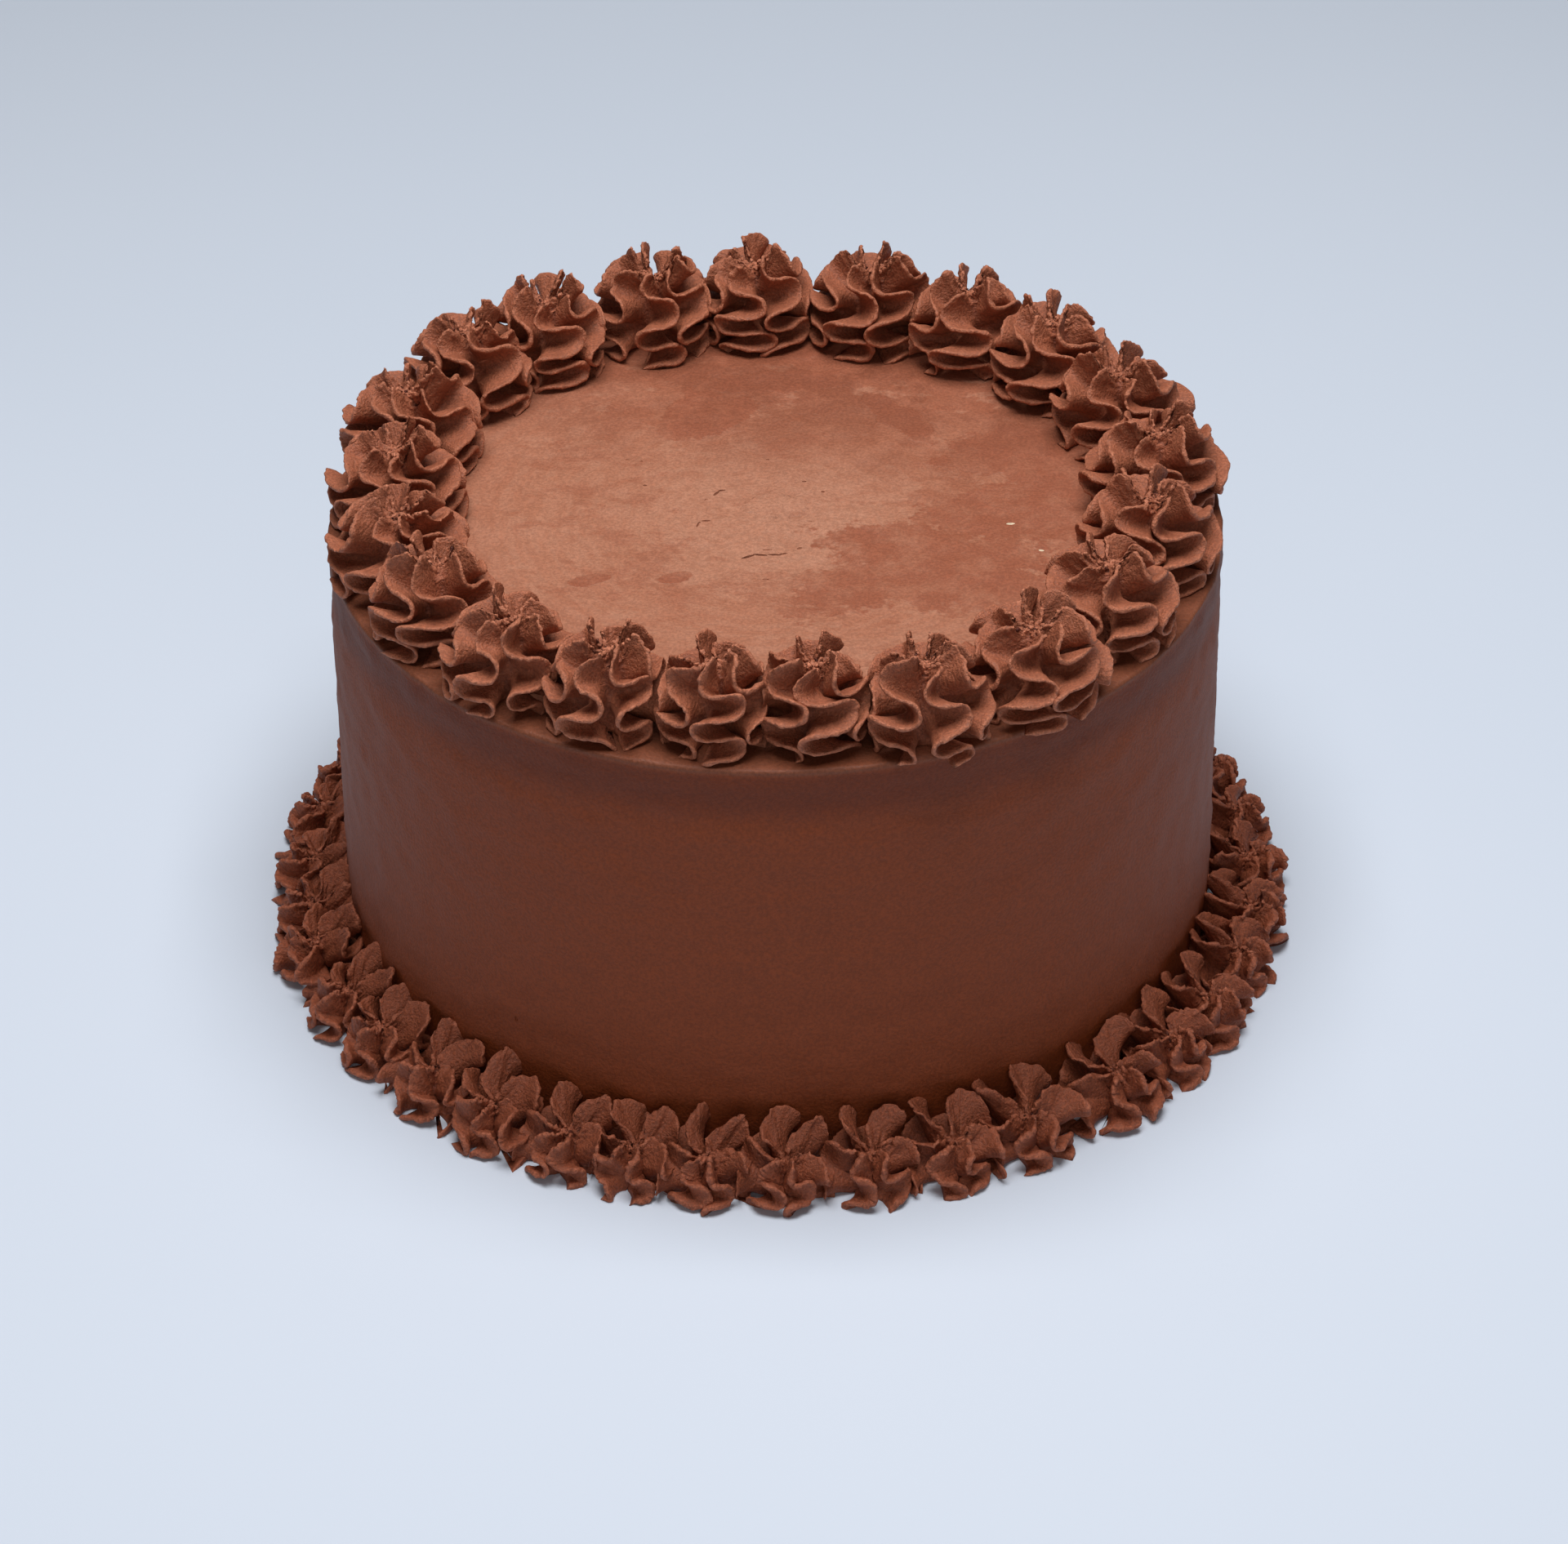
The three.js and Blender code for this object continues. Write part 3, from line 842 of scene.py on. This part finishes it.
def make_stars():
    ball = make_ball("star_ball", STAR)
    spots = [on_cake(azimuth, distance) for azimuth, distance in zip(star_azimuths(), star_distances())]
    for index, spot in enumerate(spots):
        draw = Draw((index + 1) * STAR["seed_step"])
        outward = math.atan2(spot[1], spot[0])
        planes = neighbour_planes(spots, index, STAR["overlap"])
        planes.append((np.linalg.norm(spot) - BODY_BOTTOM_RADIUS + STAR["overlap"], outward + math.pi))
        points = piped(STAR, draw, planes, outward, size_by_spacing(STAR, spots, index))
        piece = draw_out(ball, "star_%02d" % (index + 1), STAR, points, (*spot, 0))
        piece.data.materials.append(FOOT)
        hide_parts("base_star_%02d" % (index + 1))
        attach(piece, "root")
    bpy.data.objects.remove(ball)


# The wall is a little narrower at the top, with the band that the scraper pressed in under the rim
FOOT_ROUND = 1.0
FOOT_BEVEL_SHARE = 0.3
RIM_ROUND = 0.9
RIM_STEPS = 5
BAND_TOP = (4.5, 9.5)
BAND_BOTTOM = (14.5, 21.5)
BAND_DEPTH = 0.5
DISH_DEPTH = 0.6
DISH_REACH = (95, 20)
PROFILE_STEP = 1.5
UNDERSIDE_STEP = 9
UNDERSIDE_MARGIN = 8
TURN_STEPS = 300
MERGE_DISTANCE = 0.05
SMOOTH_ANGLE = 40

# Unevenness of the iced body, by hand all over, along the rim and by the spatula on top
HAND_HEIGHT = 0.8
FOOT_LEVELS = (0, 6)
RIM_HEIGHT = 1.1
RIM_REACH = 2.4
SPATULA_HEIGHT = 0.5
SPATULA_BELOW_TOP = (2, 1)
SPATULA_RADII = (104, 96)


def wall_radius(z):
    """Radius of the wall at a height, with the pressed band."""
    below = BODY_HEIGHT - z
    band = BAND_DEPTH * float(smoothstep(*BAND_TOP, below))
    band *= 1 - float(smoothstep(*BAND_BOTTOM, below))
    return BODY_BOTTOM_RADIUS + (BODY_TOP_RADIUS - BODY_BOTTOM_RADIUS) * z / BODY_HEIGHT - band


def body_profile():
    """Radius and height from the middle underneath, up the wall and over the rim to the middle."""
    bevel = FOOT_BEVEL_SHARE * FOOT_ROUND
    underside = np.arange(0, BODY_BOTTOM_RADIUS - UNDERSIDE_MARGIN, UNDERSIDE_STEP)
    points = [(radius, 0.0) for radius in underside]
    points += [(wall_radius(0) - FOOT_ROUND, 0.0), (wall_radius(0) - bevel, bevel)]
    points += [(wall_radius(z), z) for z in np.arange(FOOT_ROUND, BODY_HEIGHT - RIM_ROUND, PROFILE_STEP)]
    for step in range(RIM_STEPS + 1):
        angle = math.pi / 2 * step / RIM_STEPS
        radius = wall_radius(BODY_HEIGHT) - RIM_ROUND * (1 - math.cos(angle))
        points.append((radius, BODY_HEIGHT - RIM_ROUND * (1 - math.sin(angle))))
    for radius in np.arange(BODY_TOP_RADIUS - RIM_ROUND - 1, 0, -PROFILE_STEP):
        sunk = DISH_DEPTH * float(smoothstep(*DISH_REACH, radius))
        points.append((radius, BODY_HEIGHT - sunk))
    points.append((0.0, BODY_HEIGHT - DISH_DEPTH))
    return points


# Small cracks and pits in the icing: middle x, y, z, length, width, depth and turn in degrees.
# Neighbouring parts of one crack stand in different rows of cutters.
TOP = BODY_HEIGHT - DISH_DEPTH
MARKS = [
    [
        (-7.0, -18.3, TOP, 3.8, 0.9, 1.1, 28),
        (-0.4, -17.4, TOP, 3.4, 0.9, 1.0, -4),
        (5.8, -14.0, TOP, 1.5, 1.1, 0.9, 20),
        (-19.4, -3.0, TOP, 2.6, 0.7, 0.7, 70),
        (-15.0, 11.6, TOP, 2.2, 0.8, 0.7, 50),
        (-2.1, -15.2, TOP, 2.6, 0.5, 0.4, 10),
        (-38.0, 28.6, TOP, 1.0, 0.7, 0.5, 0),
        (-34.3, 27.5, TOP, 0.8, 0.8, 0.5, 0),
        (-33.1, 15.6, TOP, 1.1, 0.7, 0.5, 0),
        (-36.8, 19.6, TOP, 0.9, 0.7, 0.4, 0),
        (-2.0, 28.1, TOP, 0.9, 0.8, 0.5, 0),
        (7.3, 17.0, TOP, 1.2, 0.7, 0.5, 0),
        (12.0, 12.0, TOP, 1.0, 0.8, 0.5, 0),
        (-2.6, -28.9, TOP, 1.7, 0.9, 0.4, 0),
        (7.2, -1.6, TOP, 4.0, 1.0, 0.35, -20),
        (-64.5, -92.0, 28.0, 1.0, 1.0, 0.9, 0),
    ],
    [
        (-3.9, -17.4, TOP, 3.8, 0.8, 1.1, -8),
        (1.9, -16.8, TOP, 2.4, 0.8, 0.9, 24),
        (-17.5, -1.4, TOP, 2.4, 0.6, 0.6, 5),
        (-13.6, 12.9, TOP, 2.0, 0.7, 0.6, 15),
        (-17.6, 9.0, TOP, 1.2, 0.7, 0.5, 40),
    ],
]


def make_cutter(row):
    """One row of marks as a single cutter."""
    bpy.ops.object.select_all(action="DESELECT")
    marks = []
    for x, y, z, length, width, depth, turn in row:
        bpy.ops.mesh.primitive_ico_sphere_add(
            subdivisions=3,
            radius=0.5 * MM,
            location=(x * MM, y * MM, z * MM),
            rotation=(0, 0, math.radians(turn)),
            scale=(length, width, 2 * depth),
        )
        marks.append(bpy.context.object)
    for mark in marks:
        mark.select_set(True)
    bpy.ops.object.join()
    cutter = bpy.context.object
    bpy.ops.object.transform_apply(location=True, rotation=True, scale=True)
    cutter.data.materials.append(ICING)
    return cutter


def cut_marks(piece):
    for row in MARKS:
        cutter = make_cutter(row)
        choose(piece)
        cut = piece.modifiers.new("marks", "BOOLEAN")
        cut.operation = "DIFFERENCE"
        cut.solver = "MANIFOLD"
        cut.object = cutter
        bpy.ops.object.modifier_apply(modifier="marks")
        bpy.data.objects.remove(cutter)


def turned_body():
    """The body's profile turned about the axis."""
    bpy.ops.object.select_all(action="DESELECT")
    bpy.ops.mesh.primitive_plane_add(size=1 * MM, location=(0, 0, 0))
    piece = bpy.context.object
    piece.name = "iced_cake"
    bpy.ops.object.mode_set(mode="EDIT")
    bpy.ops.mesh.select_all(action="SELECT")
    bpy.ops.mesh.merge(type="CENTER")
    points = body_profile()
    for before, after in zip(points, points[1:]):
        step = ((after[0] - before[0]) * MM, 0, (after[1] - before[1]) * MM)
        bpy.ops.mesh.extrude_region_move(TRANSFORM_OT_translate={"value": step})
    bpy.ops.mesh.select_all(action="SELECT")
    bpy.ops.mesh.spin(steps=TURN_STEPS, angle=2 * math.pi, center=(0, 0, 0), axis=(0, 0, 1))
    bpy.ops.mesh.select_all(action="SELECT")
    bpy.ops.mesh.remove_doubles(threshold=MERGE_DISTANCE * MM)
    bpy.ops.mesh.normals_make_consistent(inside=False)
    bpy.ops.object.mode_set(mode="OBJECT")
    return piece


def make_body():
    piece = turned_body()
    spots = vertex_spots(piece) / MM
    radius = np.hypot(spots[:, 0], spots[:, 1])
    height = spots[:, 2]
    from_rim = np.hypot(radius - BODY_TOP_RADIUS, height - BODY_HEIGHT)
    low, high = (BODY_HEIGHT - below for below in SPATULA_BELOW_TOP)
    inside = smoothstep(low, high, height) * smoothstep(*SPATULA_RADII, radius)
    roughen(piece, grain("hand", size=48, depth=1), HAND_HEIGHT, smoothstep(*FOOT_LEVELS, height))
    roughen(piece, grain("rim", size=7, depth=2), RIM_HEIGHT, np.exp(-(from_rim / RIM_REACH) ** 2))
    roughen(piece, grain("spatula", size=15, depth=2), SPATULA_HEIGHT, inside)
    piece.data.materials.append(ICING)
    cut_marks(piece)
    bpy.ops.object.shade_smooth_by_angle(angle=math.radians(SMOOTH_ANGLE))
    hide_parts("cake_body")
    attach(piece, "root")


# Stage, lights and camera, in metres, watts and radians, the lens in millimetres
FLOOR_SIZE = 6
SKY_COLOUR = (0.9, 0.95, 1.0, 1)
SKY_STRENGTH = 0.08
LIT_POINT = (0, 0, 0.1)
LIGHTS = [
    dict(name="overhead", place=(0.0, -0.05, 1.3), size=0.8, energy=17.3),
    dict(name="front fill", place=(0.1, -1.5, 0.75), size=1.0, energy=3.2),
]
CAMERA_PLACE = (0.0, -0.99788, 0.737165)
CAMERA_YAW = 0.0017
CAMERA_PITCH = 0.6119
CAMERA_ROLL = -0.0059
CAMERA_LENS = 107.415
CAMERA_SENSOR = 36.0


def make_stage():
    bpy.ops.object.select_all(action="DESELECT")
    bpy.ops.mesh.primitive_plane_add(size=FLOOR_SIZE, location=(0, 0, 0))
    floor = bpy.context.object
    floor.name = "floor"
    floor.data.materials.append(floor_look())
    world = bpy.data.worlds.new("studio")
    bpy.context.scene.world = world
    world.use_nodes = True
    background = world.node_tree.nodes["Background"]
    background.inputs["Color"].default_value = SKY_COLOUR
    background.inputs["Strength"].default_value = SKY_STRENGTH


def area_light(name, place, size, energy):
    """A square light that points at the middle of the cake."""
    data = bpy.data.lights.new(name, "AREA")
    data.size = size
    data.energy = energy
    lamp = bpy.data.objects.new(name, data)
    bpy.context.scene.collection.objects.link(lamp)
    lamp.location = place
    lamp.rotation_euler = (Vector(LIT_POINT) - Vector(place)).to_track_quat("-Z", "Y").to_euler()


def make_camera():
    """The camera that took the photo, as fitted to the cake."""
    data = bpy.data.cameras.new("camera")
    data.sensor_width = CAMERA_SENSOR
    data.lens = CAMERA_LENS
    camera = bpy.data.objects.new("camera", data)
    bpy.context.scene.collection.objects.link(camera)
    level = math.cos(CAMERA_PITCH)
    forward = Vector((math.sin(CAMERA_YAW) * level, math.cos(CAMERA_YAW) * level, -math.sin(CAMERA_PITCH)))
    right = Vector((math.cos(CAMERA_YAW), -math.sin(CAMERA_YAW), 0))
    up = right.cross(forward)
    cosine = math.cos(CAMERA_ROLL)
    sine = math.sin(CAMERA_ROLL)
    turned_right = right * cosine + up * sine
    turned_up = up * cosine - right * sine
    turn = Matrix((turned_right, turned_up, -forward)).transposed()
    camera.matrix_world = Matrix.Translation(CAMERA_PLACE) @ turn.to_4x4()
    bpy.context.scene.camera = camera


make_camera()
make_body()
make_rosettes()
make_stars()
make_stage()
for light in LIGHTS:
    area_light(**light)
bpy.context.scene.view_settings.view_transform = "Standard"
